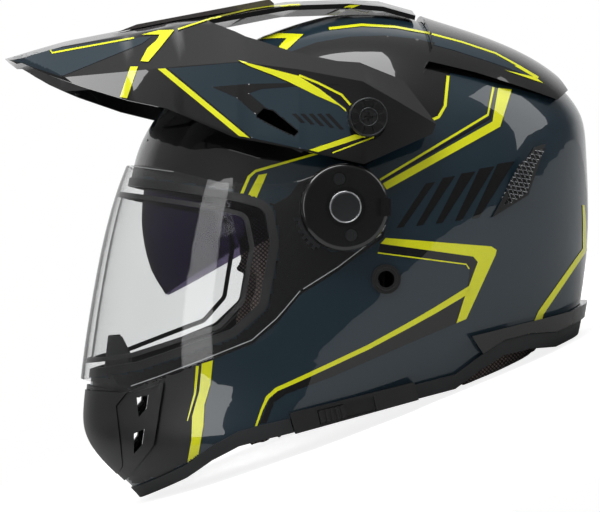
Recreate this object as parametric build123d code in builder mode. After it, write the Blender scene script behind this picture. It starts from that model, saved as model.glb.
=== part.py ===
"""Dual sport helmet: a full-face shell with a peak, a flip-up shield and an inner sun visor.

Everything is drawn level, as worn, on planes of the head frame: x runs back, z runs up and
the photographed side, the wearer's left, is -Y. The head frame itself leans back by
stand_angle, because the helmet stands on its chin, its neck roll and its tail.
Outlines are shares of the head length, and half-widths are shares of half the shell's width.
"""
import os
from math import cos, pi, radians, sin

from build123d import *

# Driving dimensions, in millimetres and degrees
head_length = 200.0
head_width = 155.0
head_height = 100.0
shell_width = 238.0
shell_wall = 4.0
stand_angle = 20.8
stand_height = 117.2
stand_back = -16.0

# Clearances
body_gap = 0.4
fit_gap = 0.3
seat_gap = 0.5
soft_gap = 0.4
running_gap = 0.05

# Rest faces
rest_cut = 0.5

# Shell and its openings
eye_port_round = 14.0
trim_height = 9.8
trim_lip = 3.0
trim_inner = 3.5
gasket_width = 5.5
gasket_lip = 1.5
gasket_depth = 5.0

# Liner
liner_thickness = 9.0
chin_liner = 28.0
pad_crown = 20.0
pad_channel = 2.6
pad_channel_width = 4.5
neck_roll_radius = 9.5
neck_roll_reach = 82.8
neck_roll_length = 66.0
neck_roll_middle = 44.0
neck_roll_steps = 8

# Shield
shield_width = 247.0
shield_wall = 2.2
lens_gap = 3.2
lens_wall = 1.4
lens_seal_width = 3.0
lens_round = 9.0
tab_stand = 2.6

# Shield pivot
pivot_radius = 28.5
pivot_seat_depth = 3.5
pivot_plate_drop = 1.8
boss_radius = 9.0
pivot_cover_thickness = 6.0
pivot_cap_radius = 9.5
pivot_ring_radius = 13.0
pivot_cap_stand = 1.6
screw_head_radius = 4.2
screw_circle_radius = 18.6
screw_turn = 12.0
latch_width = 11.0
latch_length = 6.5
latch_travel = 2.0
latch_thickness = 3.0
pivot_ring_depth = 3.2
screw_slot = 1.0

# Sun visor
sun_radius = 106.0
sun_half_width = 98.5
sun_wall = 2.0
sun_up_angle = 19.0
sun_down_angle = 31.0
sun_travel_angle = 38.0
sun_pocket_gap = 2.5
sun_hub_radius = 9.0
sun_pin_radius = 4.0
sun_pin_length = 5.0

# Sun visor slider
slider_length = 17.0
slider_travel = 20.0
slider_stand = 2.6
slider_height = 8.5
slider_depth = 2.4
slider_ribs = 5
slider_track_face = -1.0

# Peak
peak_wall = 3.2
peak_fin_width = 27.0
knob_radius = 12.6
knob_height = 6.5
knob_hub_radius = 5.6
knob_ribs = 10
knob_slot_width = 1.6
peak_pin_radius = 3.0
peak_mount_radius = 8.0
peak_skirt = 20.0
peak_boss_depth = 9.4
peak_boss_rise = 1.2
knob_shank = 17.0

# Vents and ports
port_radius = 9.0
port_bore_radius = 5.4
port_lip_radius = 9.6
port_stand = 1.6
port_wall = 1.6
port_tube_length = 9.0
chin_plate_thickness = 2.2
chin_centre_stand = 0.8
vent_frame_width = 3.0
vent_frame_stand = 1.6
mesh_thickness = 1.4
mesh_cell = 9.0
mesh_bar = 1.6
fairing_thickness = 4.0
brow_vent_thickness = 2.0
rear_lip_stand = 5.0
shutter_thickness = 1.6
shutter_width = 16.0
shutter_height = 11.0
shutter_travel = 6.0
shutter_tab = 2.4
shutter_frame_wall = 3.0
shutter_frame_depth = 5.0

# Straps
strap_thickness = 2.4
strap_loop_radius = 3.3
strap_loop_length = 14.0
ring_wire = 3.2
ring_height = 19.0
ring_short_height = 15.0
ring_gap = 0.4
rivet_radius = 5.0
rivet_stand = 1.8

# Centre that the forms are drawn in towards, and their half-lengths
form_centre_share = 0.14
shell_length_share = 0.84
shield_length_share = 0.88
form_stretch_share = 0.25

# Head dome
head_middle_share = 0.155
head_base_share = 0.10
head_steps = 6
head_last_angle = 80

# Small shares
mid_lean_share = 0.25
crease_lean_share = 0.75
knob_rib_share = 0.7
mesh_turn = 32

# Side-view places, as shares of the head length: back, up
pivot_share = (0.096, 0.158)
knob_share = (0.168, 0.448)
port_share = (0.233, -0.075)
sun_pivot_share = (-0.010, 0.135)
slider_slot_share = (0.058, -0.513)
tab_shares = [(-0.590, -0.420), (-0.500, -0.396), (-0.490, -0.405), (-0.520, -0.440), (-0.590, -0.450)]

# Shell sections: height, front, rear, half-width, widest place, nose power
shell_shares = [
    (-0.900, -0.600, 0.500, 0.60, -0.20, 1.45),
    (-0.700, -0.655, 0.640, 0.82, -0.13, 1.36),
    (-0.520, -0.722, 0.770, 0.93, -0.04, 1.34),
    (-0.370, -0.706, 0.900, 0.97, 0.04, 1.45),
    (-0.200, -0.684, 0.950, 0.995, 0.10, 1.75),
    (0.000, -0.638, 0.978, 1.000, 0.15, 2.00),
    (0.220, -0.584, 0.984, 0.980, 0.18, 2.10),
    (0.370, -0.548, 0.978, 0.930, 0.20, 2.10),
    (0.480, -0.485, 0.960, 0.870, 0.22, 2.05),
    (0.560, -0.410, 0.905, 0.805, 0.23, 2.00),
    (0.650, -0.300, 0.790, 0.700, 0.24, 2.00),
    (0.740, -0.150, 0.585, 0.510, 0.22, 2.00),
    (0.795, 0.000, 0.420, 0.290, 0.21, 2.00),
    (0.820, 0.110, 0.310, 0.140, 0.21, 2.00),
]
tail_power = 2.3
nose_round = 0.3

# Shield sections: height, front, rear, half-width, widest place, nose power
shield_shares = [
    (-0.500, -0.752, 0.900, 1.0, 0.10, 1.72),
    (-0.380, -0.744, 0.900, 1.0, 0.10, 1.80),
    (-0.235, -0.724, 0.900, 1.0, 0.10, 1.90),
    (-0.080, -0.698, 0.900, 1.0, 0.10, 1.95),
    (0.100, -0.660, 0.900, 1.0, 0.10, 2.00),
    (0.260, -0.611, 0.900, 1.0, 0.10, 2.00),
    (0.400, -0.548, 0.900, 1.0, 0.10, 2.00),
]

# Outlines in side view, as shares of the head length
rim_shares = [
    (-0.90, -0.955), (-0.622, -0.813), (-0.525, -0.757), (-0.403, -0.685), (-0.325, -0.622),
    (-0.240, -0.573), (-0.170, -0.552), (-0.105, -0.536), (0.330, -0.421), (0.470, -0.387),
    (0.545, -0.332), (0.635, -0.278), (0.727, -0.258), (0.830, -0.254), (0.882, -0.235),
    (0.975, -0.204), (1.30, -0.100),
]
eye_port_shares = [
    (-0.112, 0.040), (-0.135, 0.175), (-0.250, 0.208), (-0.560, 0.262), (-1.00, 0.340),
    (-1.00, -0.470), (-0.555, -0.378), (-0.250, -0.262), (-0.150, -0.170),
]
shield_edge_shares = [
    (-0.90, 0.336), (-0.590, 0.306), (-0.522, 0.300), (-0.300, 0.240), (-0.114, 0.233),
    (-0.058, 0.243), (0.010, 0.272), (0.096, 0.300), (0.238, 0.158), (0.232, 0.092),
    (0.195, 0.035), (0.062, -0.052), (-0.050, -0.128), (-0.117, -0.210), (-0.134, -0.248),
    (-0.193, -0.287), (-0.360, -0.345), (-0.493, -0.401), (-0.585, -0.442), (-0.90, -0.390),
]
inner_lens_shares = [
    (-0.192, 0.030), (-0.212, 0.138), (-0.300, 0.162), (-0.545, 0.204), (-1.00, 0.285),
    (-1.00, -0.410), (-0.585, -0.337), (-0.300, -0.236), (-0.222, -0.150),
]
chin_plate_shares = [
    (-1.00, -0.385), (-0.700, -0.440), (-0.585, -0.458), (-0.480, -0.418), (-0.512, -0.626),
    (-0.612, -0.780), (-0.640, -0.806), (-1.00, -0.990),
]
chin_centre_shares = [
    (-1.00, -0.450), (-0.600, -0.455), (-0.634, -0.500), (-0.611, -0.706), (-0.642, -0.770),
    (-1.00, -0.850),
]
chin_slot_shares = [
    [(-0.566, -0.470), (-0.528, -0.460), (-0.534, -0.505), (-0.560, -0.535)],
    [(-0.575, -0.590), (-0.541, -0.572), (-0.548, -0.625), (-0.575, -0.660)],
]
slider_track_shares = [(-0.080, -0.510), (0.326, -0.411), (0.341, -0.468), (-0.060, -0.577)]
rear_vent_shares = [(0.785, 0.372), (0.742, 0.360), (0.640, 0.215), (0.588, 0.126), (0.716, 0.200)]
fairing_shares = [
    (0.375, 0.620), (0.392, 0.642), (0.550, 0.606), (0.836, 0.522), (0.890, 0.560),
    (0.800, 0.760), (0.410, 0.980), (0.410, 0.690),
]
rear_lip_shares = [
    (1.20, -0.075), (0.880, -0.185), (0.700, -0.222), (0.520, -0.262), (0.560, -0.320), (1.20, -0.262),
]
brow_vent_shares = [(-0.480, 0.430), (-0.395, 0.500), (-0.330, 0.535), (-0.300, 0.500), (-0.400, 0.440)]
mouth_room_shares = [(-1.00, -0.050), (0.060, -0.050), (0.060, -1.200), (-1.00, -1.200)]
crown_liner_shares = [
    (-0.470, 0.330), (-0.300, 0.270), (0.020, 0.300), (0.300, 0.220), (0.500, -0.120),
    (1.00, -0.200), (1.00, 1.100), (-0.470, 1.100),
]
cheek_pad_shares = [
    (-0.330, -0.655), (-0.290, -0.697), (-0.235, -0.690), (-0.060, -0.600), (0.120, -0.520),
    (0.190, -0.360), (0.200, -0.050), (0.100, 0.170), (-0.160, 0.160), (-0.300, 0.000),
    (-0.380, -0.250), (-0.385, -0.480),
]
cheek_centre_share = (-0.080, -0.260)
cheek_crown_shares = [(0.00, 0.50), (0.12, 0.78), (0.36, 0.94), (0.70, 1.00), (1.60, 0.97)]
cheek_channel_shares = [
    [(-0.360, -0.100), (0.000, -0.020), (0.220, -0.120)],
    [(-0.390, -0.400), (-0.060, -0.330), (0.230, -0.370)],
]
strap_shares = [(0.245, -0.050), (0.335, -0.050), (0.335, -0.385), (0.245, -0.385)]
strap_rivet_share = (0.290, -0.100)
ring_low_share = (0.290, -0.390)
ring_high_share = (0.290, -0.270)
ring_low_reach_share = 0.647
ring_high_reach_share = 0.647
breath_guard_shares = [(-0.720, -0.270), (-0.610, -0.270), (-0.560, -0.372), (-0.800, -0.440)]
breath_guard_depth = 8.0
breath_guard_wall = 2.0
breath_guard_width = 76.0
detent_start_angle = 192
detent_end_angle = 238
detent_width = 4.5
detent_stand = 1.4
detent_teeth = 6
shutter_share = (-0.585, -0.490)
sun_notch_shares = [(-0.150, -0.400), (-0.095, -0.110), (-0.045, -0.055), (0.045, -0.055), (0.095, -0.110),
                    (0.150, -0.400)]

# Peak sections: back, centre height, mid half-width, mid height, crease half-width,
# crease height, edge half-width, edge height
peak_shares = [
    (-1.020, 0.664, 0.30, 0.640, 0.56, 0.562, 0.600, 0.535),
    (-0.810, 0.728, 0.34, 0.700, 0.61, 0.588, 0.650, 0.560),
    (-0.600, 0.770, 0.37, 0.738, 0.71, 0.605, 0.780, 0.510),
    (-0.430, 0.806, 0.39, 0.770, 0.80, 0.620, 0.890, 0.462),
    (-0.240, 0.836, 0.39, 0.802, 0.89, 0.632, 1.010, 0.385),
    (-0.050, 0.868, 0.36, 0.836, 0.965, 0.606, 1.090, 0.345),
    (0.155, 0.878, 0.32, 0.846, 1.030, 0.566, 1.105, 0.300),
    (0.270, 0.872, 0.30, 0.838, 1.055, 0.500, 1.105, 0.325),
    (0.395, 0.838, 0.28, 0.806, 1.080, 0.425, 1.105, 0.385),
]
peak_side_shares = [
    (-1.010, 0.672), (-0.775, 0.735), (-0.630, 0.772), (-0.100, 0.95), (0.320, 0.95),
    (0.386, 0.845), (0.372, 0.770), (0.200, 0.730), (0.392, 0.430), (0.378, 0.395),
    (0.155, 0.296), (-0.052, 0.342), (-0.260, 0.384), (-0.475, 0.480), (-0.600, 0.508),
    (-0.750, 0.556), (-0.812, 0.580), (-0.960, 0.640),
]
peak_plan_shares = [
    (-1.010, 0.0), (-1.004, 0.10), (-0.975, 0.24), (-0.900, 0.42), (-0.812, 0.60),
    (-0.700, 0.78), (-0.560, 0.98), (-0.400, 1.30), (0.60, 1.30), (0.60, 0.0),
]
peak_window_shares = [(-0.350, 0.350), (-0.080, 0.270), (0.60, 0.250), (0.60, 0.860), (0.080, 0.860),
                      (-0.060, 0.800), (-0.210, 0.620)]
peak_scoop_shares = [
    (-0.190, 0.452), (-0.165, 0.478), (-0.135, 0.470), (-0.055, 0.402), (-0.068, 0.388), (-0.118, 0.412),
]
fin_shares = [
    (-0.640, 0.752), (-0.560, 0.784), (-0.110, 0.872), (-0.094, 0.858), (-0.094, 0.830),
    (-0.240, 0.806), (-0.430, 0.776), (-0.600, 0.744),
]

half_width = shell_width / 2
span = shell_width


def head_frame():
    """The level frame of the worn helmet, leaning back on the table."""
    lean = radians(stand_angle)
    back = Vector(cos(lean), 0, -sin(lean))
    up = Vector(sin(lean), 0, cos(lean))
    return Plane(origin=(stand_back, 0, stand_height), x_dir=back, z_dir=up)


head = head_frame()
back_dir = head.x_dir
up_dir = head.z_dir


def level(height):
    """Horizontal plane of the worn helmet: x back, y to the wearer's right."""
    return head.offset(height)


def side(reach):
    """Upright plane along the helmet, out to the wearer's left: x back, y up."""
    return Plane(origin=head.origin - Vector(0, reach, 0), x_dir=back_dir, z_dir=(0, -1, 0))


def across(back):
    """Upright plane across the helmet: x to the wearer's right, y up."""
    return Plane(origin=head.origin + back_dir * back, x_dir=(0, 1, 0), z_dir=back_dir)


def outline(shares):
    """Side-view points of a table of shares."""
    return [(head_length * back, head_length * up) for back, up in shares]


def place(share):
    return (head_length * share[0], head_length * share[1])


pivot = place(pivot_share)
knob = place(knob_share)
port = place(port_share)
sun_pivot = place(sun_pivot_share)


def side_at(point, reach):
    """The side plane with its origin on a side-view point."""
    plane = side(reach)
    return Plane(plane.from_local_coords((point[0], point[1], 0)), x_dir=plane.x_dir, z_dir=plane.z_dir)


def oval_points(front, rear, reach, middle, nose_power, count=4):
    """Closed oval: a superellipse ahead of its widest place and a fuller one behind it."""
    points = []
    for step in range(4 * count):
        angle = pi / 2 * step / count
        forward = cos(angle)
        outward = sin(angle)
        ahead = forward > 0
        bow = 2 / nose_power if ahead else 2 / tail_power
        flank = bow ** nose_round if ahead else bow
        length = middle - front if ahead else rear - middle
        x = middle - length * (1 if ahead else -1) * abs(forward) ** bow
        y = reach * (1 if outward > 0 else -1) * abs(outward) ** flank
        points.append((x, y))
    return points


def formed(table, width, depth, centre, sizes):
    """A lofted solid through the sections of a table, drawn in by depth towards its centre."""
    lengthwise, sideways, upward = [1 - depth / size for size in sizes]
    downward = 1 + abs(1 - upward) * form_stretch_share * (1 if depth > 0 else -1)
    with BuildPart() as body:
        for height, front, rear, reach, middle, power in table:
            stretch = upward if height > 0 else downward
            with BuildSketch(level(head_length * height * stretch)):
                with BuildLine():
                    Spline(
                        *oval_points(
                            centre + (head_length * front - centre) * lengthwise,
                            centre + (head_length * rear - centre) * lengthwise,
                            width / 2 * reach * sideways,
                            centre + (head_length * middle - centre) * lengthwise,
                            power,
                        ),
                        periodic=True,
                    )
                make_face()
        loft()
    return body.part


forms = {}


def shell_form(depth):
    if ("shell", depth) not in forms:
        sizes = [head_length * shell_length_share, shell_width / 2, head_length * shell_shares[-1][0]]
        centre = head_length * form_centre_share
        forms["shell", depth] = formed(shell_shares, shell_width, depth, centre, sizes)
    return forms["shell", depth]


def shield_form(depth):
    if ("shield", depth) not in forms:
        sizes = [head_length * shield_length_share, shield_width / 2, -head_length * shield_length_share]
        centre = head_length * form_centre_share
        forms["shield", depth] = formed(shield_shares, shield_width, depth, centre, sizes)
    return forms["shield", depth]


def head_form(growth):
    """Room for the head: a dome over a straight neck."""
    if ("head", growth) not in forms:
        length = head_length / 2 + growth
        reach = head_width / 2 + growth
        rise = head_height + growth
        middle = head_length * head_middle_share
        base = head_length * head_base_share
        with BuildPart() as body:
            for step in range(head_steps):
                angle = radians(step * head_last_angle / (head_steps - 1))
                with BuildSketch(level(base + rise * sin(angle))):
                    with Locations((middle, 0)):
                        Ellipse(length * cos(angle), reach * cos(angle))
            loft()
            with BuildSketch(level(base)):
                with Locations((middle, 0)):
                    Ellipse(length, reach)
            extrude(amount=-head_length)
        forms["head", growth] = body.part
    return forms["head", growth]


def write(piece, name):
    piece.part.label = name
    export_step(piece.part, f"parts/{name}.step")


def write_pair(piece, name):
    """Writes a left piece and its mirror image on the right."""
    write(piece, name + "_left")
    with BuildPart() as other:
        mirror(piece.part, about=Plane.XZ)
    write(other, name + "_right")


os.makedirs("parts", exist_ok=True)

# Tools shared by the shell and what lies along its edges
with BuildPart() as below_rim:
    with BuildSketch(side(0)):
        with BuildLine():
            Polyline(
                *outline(rim_shares),
                (head_length * rim_shares[-1][0], -head_length * 2),
                (head_length * rim_shares[0][0], -head_length * 2),
                close=True,
            )
        make_face()
    extrude(amount=span, both=True)


def lowered(shape, drop):
    """A copy of a shape moved down in the head frame."""
    return shape.moved(Location(up_dir * -drop))


def prism(shares, growth=0, radius=0, both=True):
    """A side-view outline, grown and rounded, pushed through the helmet or its left half."""
    front = head_length * min(share[0] for share in shares)
    with BuildPart() as block:
        with BuildSketch(side(0)) as face:
            with BuildLine():
                Polyline(*outline(shares), close=True)
            make_face()
            if radius:
                fillet(face.vertices().filter_by(lambda corner: corner.X > front + radius), radius)
            if growth:
                offset(amount=growth, kind=Kind.INTERSECTION)
        extrude(amount=span, both=both)
    return block.part


# Places that follow from the sizes
eye_port = prism(eye_port_shares, 0, eye_port_round)
shell_inside = shell_wall + seat_gap
pivot_floor = half_width - pivot_seat_depth
shield_reach = shield_width / 2
plate_top = half_width - pivot_plate_drop
cover_start = shield_reach + body_gap
cover_end = cover_start + pivot_cover_thickness
trim_bottom = lowered(below_rim.part, trim_height)
rim_clearance = lowered(below_rim.part, -seat_gap)
ground = Plane.XY
sun_pin_end = sun_half_width + sun_pin_length
wing_reach = half_width * peak_shares[6][6]
peak_boss_end = wing_reach - peak_boss_rise
peak_boss_start = peak_boss_end - peak_boss_depth
eps_bottom = Plane.XY.offset(2 * neck_roll_radius - rest_cut + soft_gap)


def skin(outer, inner, form=shell_form):
    """The layer between two depths below an outer face."""
    with BuildPart() as layer:
        add(form(outer))
        add(form(inner), mode=Mode.SUBTRACT)
    return layer.part


def rod(point, start, end, radius, bore=0):
    """A round bar across the helmet at a side-view point, from one reach to another."""
    with BuildPart() as bar:
        with BuildSketch(side_at(point, start)):
            Circle(radius)
            if bore:
                Circle(bore, mode=Mode.SUBTRACT)
        extrude(amount=end - start)
    return bar.part


def both_sides(shape):
    """A left-hand tool with its mirror image."""
    with BuildPart() as pair:
        add(shape)
        mirror(shape, about=Plane.XZ)
    return pair.part


def turned(point, radius, angle):
    """A side-view point at a radius and an angle, up from straight back, about another."""
    return (point[0] + radius * cos(radians(angle)), point[1] + radius * sin(radians(angle)))


# Place of the chin vent's frame
shutter_place = place(shutter_share)
frame_height = shutter_height + shutter_travel + 2 * shutter_frame_wall
frame_width = shutter_width + 2 * shutter_frame_wall
frame_face = across(shutter_place[0])
frame_face = Plane(
    frame_face.from_local_coords((0, shutter_place[1], 0)), x_dir=frame_face.x_dir, z_dir=frame_face.z_dir
)

# Outer shell
with BuildPart() as shell:
    add(skin(0, shell_wall))
    add(below_rim.part, mode=Mode.SUBTRACT)
    add(eye_port, mode=Mode.SUBTRACT)
    add(both_sides(rod(pivot, pivot_floor, span, pivot_radius + body_gap)), mode=Mode.SUBTRACT)
    add(both_sides(rod(port, head_width / 2, span, port_radius - port_wall)), mode=Mode.SUBTRACT)
    add(both_sides(rod(knob, 0, span, peak_pin_radius + body_gap)), mode=Mode.SUBTRACT)
    add(prism(rear_vent_shares, -vent_frame_width / 2), mode=Mode.SUBTRACT)
    for shares in chin_slot_shares:
        add(prism(shares), mode=Mode.SUBTRACT)
write(shell, "shell")

# Rubber trim under the shell's bottom edge
with BuildPart() as track_room:
    add(skin(-2 * trim_lip, 0))
    add(prism(slider_track_shares, seat_gap, 0, False), mode=Mode.INTERSECT)
with BuildPart() as edge_trim:
    add(skin(-trim_lip, shell_wall + trim_inner))
    add(below_rim.part, mode=Mode.INTERSECT)
    add(trim_bottom, mode=Mode.SUBTRACT)
    add(track_room.part, mode=Mode.SUBTRACT)
    split(bisect_by=ground, keep=Keep.TOP)
write(edge_trim, "edge_trim")

# Gasket round the eye port
with BuildPart() as eyeport_gasket:
    add(skin(-gasket_lip, gasket_depth))
    add(eye_port, mode=Mode.INTERSECT)
    add(prism(eye_port_shares, -gasket_width, eye_port_round), mode=Mode.SUBTRACT)
write(eyeport_gasket, "eyeport_gasket")


def lune(radius, reach, wall, low_angle, high_angle):
    """A curved sheet turned about the sun visor's hinge, between two angles above the front."""
    centre = side_at(sun_pivot, 0).origin
    low = radians(low_angle)
    outward = back_dir * -cos(low) + up_dir * sin(low)
    across_dir = Vector(0, 1, 0)
    with BuildPart() as sheet:
        with BuildSketch(Plane(origin=centre, x_dir=across_dir, z_dir=across_dir.cross(outward))):
            Ellipse(reach, radius)
            Ellipse(reach - wall, radius - wall, mode=Mode.SUBTRACT)
            with Locations((0, -radius)):
                Rectangle(2 * (radius + reach), 2 * radius + sun_hub_radius, mode=Mode.SUBTRACT)
        revolve(axis=Axis(centre, across_dir), revolution_arc=high_angle - low_angle)
    return sheet.part


# Energy-absorbing liner, with the pocket that the sun visor slides up into
with BuildPart() as mouth_room:
    add(shell_form(chin_liner))
    add(prism(mouth_room_shares), mode=Mode.INTERSECT)
with BuildPart() as eps_liner:
    add(shell_form(shell_inside))
    add(head_form(liner_thickness + seat_gap), mode=Mode.SUBTRACT)
    add(mouth_room.part, mode=Mode.SUBTRACT)
    add(lowered(below_rim.part, -soft_gap), mode=Mode.SUBTRACT)
    split(bisect_by=eps_bottom, keep=Keep.TOP)
    add(eye_port, mode=Mode.SUBTRACT)
    add(
        lune(
            sun_radius + sun_pocket_gap,
            sun_half_width + sun_pocket_gap,
            sun_wall + 2 * sun_pocket_gap,
            -sun_down_angle - sun_pocket_gap,
            sun_up_angle + sun_travel_angle + sun_pocket_gap,
        ),
        mode=Mode.SUBTRACT,
    )
    add(
        both_sides(
            rod(sun_pivot, head_width / 2, sun_half_width + sun_pocket_gap, sun_hub_radius + body_gap)
        ),
        mode=Mode.SUBTRACT,
    )
    add(both_sides(rod(sun_pivot, head_width / 2, sun_pin_end + body_gap, sun_pin_radius + running_gap)),
        mode=Mode.SUBTRACT)
    add(both_sides(rod(port, head_width / 2, span, port_radius - port_wall)), mode=Mode.SUBTRACT)
    for shares in chin_slot_shares:
        add(prism(shares), mode=Mode.SUBTRACT)
    with BuildSketch(frame_face.offset(-seat_gap)):
        Rectangle(frame_width + 2 * seat_gap, frame_height + 2 * seat_gap)
    extrude(amount=chin_liner, mode=Mode.SUBTRACT)
write(eps_liner, "eps_liner")

# Comfort liner under the crown
with BuildPart() as crown_liner:
    add(skin(liner_thickness, 0, head_form))
    add(prism(crown_liner_shares), mode=Mode.INTERSECT)
write(crown_liner, "crown_liner")


def about_cheek(shares, scale_share):
    """The cheek pad's outline drawn in towards its centre."""
    middle = place(cheek_centre_share)
    return [
        (middle[0] + (x - middle[0]) * scale_share, middle[1] + (y - middle[1]) * scale_share)
        for x, y in outline(shares)
    ]


# Cheek pads: crowned towards the face, with sewn channels
pad_face = head_width / 2 - pad_crown
with BuildPart() as cheek_pad:
    for depth_share, scale_share in cheek_crown_shares:
        with BuildSketch(side(pad_face + pad_crown * depth_share)):
            with BuildLine():
                Spline(*about_cheek(cheek_pad_shares, scale_share), periodic=True)
            make_face()
    loft()
    for channel in cheek_channel_shares:
        with BuildSketch(side(pad_face)):
            with BuildLine():
                Polyline(*outline(channel))
            trace(line_width=pad_channel_width)
        extrude(amount=pad_channel, mode=Mode.SUBTRACT)
    add(head_form(liner_thickness), mode=Mode.INTERSECT)
write_pair(cheek_pad, "cheek_pad")

# Neck roll: a padded tube round the back of the neck, which the helmet also rests on
neck_points = []
for step in range(neck_roll_steps + 1):
    turn = pi * (step / neck_roll_steps - 1 / 2)
    neck_points.append((neck_roll_middle + neck_roll_length * cos(turn), neck_roll_reach * sin(turn)))
with BuildPart() as neck_roll:
    with BuildLine(Plane.XY.offset(neck_roll_radius - rest_cut)) as neck_path:
        Spline(*neck_points)
    with BuildSketch(Plane(origin=neck_path.line @ 0, z_dir=neck_path.line % 0)):
        Circle(neck_roll_radius)
    sweep(path=neck_path.line)
    fillet(neck_roll.faces().filter_by(GeomType.PLANE).edges(), neck_roll_radius / 2)
    split(bisect_by=ground, keep=Keep.TOP)
write(neck_roll, "neck_roll")

# Breath guard, standing behind the shield on the chin bar
with BuildPart() as breath_guard:
    add(skin(breath_guard_depth, breath_guard_depth + breath_guard_wall))
    with BuildSketch(side(0)):
        with BuildLine():
            Polyline(*outline(breath_guard_shares), close=True)
        make_face()
    extrude(amount=breath_guard_width / 2, both=True, mode=Mode.INTERSECT)
    add(eye_port, mode=Mode.INTERSECT)
write(breath_guard, "breath_guard")

# Chin plates
chin_centre_block = prism(chin_centre_shares)
with BuildPart() as chin_centre:
    add(skin(-chin_plate_thickness - chin_centre_stand, -seat_gap))
    add(chin_centre_block, mode=Mode.INTERSECT)
    add(rim_clearance, mode=Mode.SUBTRACT)
write(chin_centre, "chin_centre_plate")

with BuildPart() as chin_plate:
    add(skin(-chin_plate_thickness, -seat_gap))
    add(prism(chin_plate_shares), mode=Mode.INTERSECT)
    add(prism(chin_centre_shares, seat_gap), mode=Mode.SUBTRACT)
    add(rim_clearance, mode=Mode.SUBTRACT)
    for shares in chin_slot_shares:
        add(prism(shares), mode=Mode.SUBTRACT)
write(chin_plate, "chin_plate")

# Chin vent: a frame in its seat in the liner, and the shutter that slides in it
with BuildPart() as chin_vent_frame:
    with BuildSketch(frame_face):
        Rectangle(frame_width, frame_height)
    extrude(amount=shutter_frame_depth)
    with BuildSketch(frame_face.offset(shutter_frame_depth)):
        Rectangle(shutter_width + 2 * body_gap, shutter_height + shutter_travel + 2 * body_gap)
    extrude(amount=-shutter_thickness - body_gap, mode=Mode.SUBTRACT)
    with BuildSketch(frame_face):
        with Locations((0, shutter_travel / 2)):
            Rectangle(shutter_width - 2 * shutter_frame_wall, shutter_height - 2 * shutter_frame_wall)
    extrude(amount=shutter_frame_depth, mode=Mode.SUBTRACT)
write(chin_vent_frame, "chin_vent_frame")

with BuildPart() as chin_vent_shutter:
    with BuildSketch(frame_face.offset(shutter_frame_depth)):
        with Locations((0, shutter_travel / 2)):
            Rectangle(shutter_width, shutter_height)
    extrude(amount=-shutter_thickness)
    with BuildSketch(frame_face.offset(shutter_frame_depth)):
        with Locations((0, shutter_travel / 2)):
            Rectangle(shutter_width / 2, shutter_tab)
    extrude(amount=shutter_tab)
write(chin_vent_shutter, "chin_vent_shutter")

# Brow vents and the raised fairing over the crown
with BuildPart() as brow_vents:
    add(skin(-brow_vent_thickness, -seat_gap))
    add(prism(brow_vent_shares, 0, 0, False), mode=Mode.INTERSECT)
write_pair(brow_vents, "brow_vent")

with BuildPart() as crown_fairing:
    add(skin(-fairing_thickness, -seat_gap))
    add(prism(fairing_shares), mode=Mode.INTERSECT)
write(crown_fairing, "crown_fairing")

# Rear lip above the trim
with BuildPart() as rear_lip:
    add(skin(-rear_lip_stand, -seat_gap))
    add(prism(rear_lip_shares), mode=Mode.INTERSECT)
    add(rim_clearance, mode=Mode.SUBTRACT)
write(rear_lip, "rear_lip")

# Rear exhaust vents: a frame round a diamond mesh
left_vent = prism(rear_vent_shares, 0, 0, False)
with BuildPart() as rear_vent_frame:
    add(skin(-vent_frame_stand, -seat_gap))
    add(left_vent, mode=Mode.INTERSECT)
    add(prism(rear_vent_shares, -vent_frame_width, 0, False), mode=Mode.SUBTRACT)
write_pair(rear_vent_frame, "rear_vent_frame")

mesh_low = [min(share[axis] for share in rear_vent_shares) for axis in (0, 1)]
mesh_high = [max(share[axis] for share in rear_vent_shares) for axis in (0, 1)]
mesh_middle = (head_length * (mesh_low[0] + mesh_high[0]) / 2, head_length * (mesh_low[1] + mesh_high[1]) / 2)
mesh_span = head_length * (mesh_high[1] - mesh_low[1] + mesh_high[0] - mesh_low[0])
mesh_bars = int(mesh_span / mesh_cell)
with BuildPart() as rear_vent_mesh:
    with BuildSketch(side_at(mesh_middle, 0)):
        for turn in (mesh_turn, -mesh_turn):
            with Locations(Location((0, 0, 0), (0, 0, turn))):
                with GridLocations(mesh_cell, 0, mesh_bars, 1):
                    Rectangle(mesh_bar, mesh_span)
    extrude(amount=span)
    add(prism(rear_vent_shares, -vent_frame_width / 2 - fit_gap, 0, False), mode=Mode.INTERSECT)
    add(skin(0, mesh_thickness), mode=Mode.INTERSECT)
write_pair(rear_vent_mesh, "rear_vent_mesh")

# Side port grommets
with BuildPart() as port_grommet:
    add(rod(port, half_width - port_tube_length, half_width + port_stand, port_radius - port_wall - fit_gap))
    add(rod(port, half_width + fit_gap, half_width + port_stand, port_lip_radius))
    add(rod(port, 0, span, port_bore_radius), mode=Mode.SUBTRACT)
write_pair(port_grommet, "port_grommet")

# Shield pivots: base plate with its boss, cover, cap, screws and latch
latch_place = (pivot[0] + pivot_radius - latch_length, pivot[1])
screws = [
    turned(pivot, screw_circle_radius, upright + screw_turn) for upright in (90, 270)
]
with BuildPart() as base_plate:
    add(rod(pivot, pivot_floor, plate_top, pivot_radius))
    add(rod(pivot, plate_top, cover_start, boss_radius))
write_pair(base_plate, "base_plate")

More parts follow.
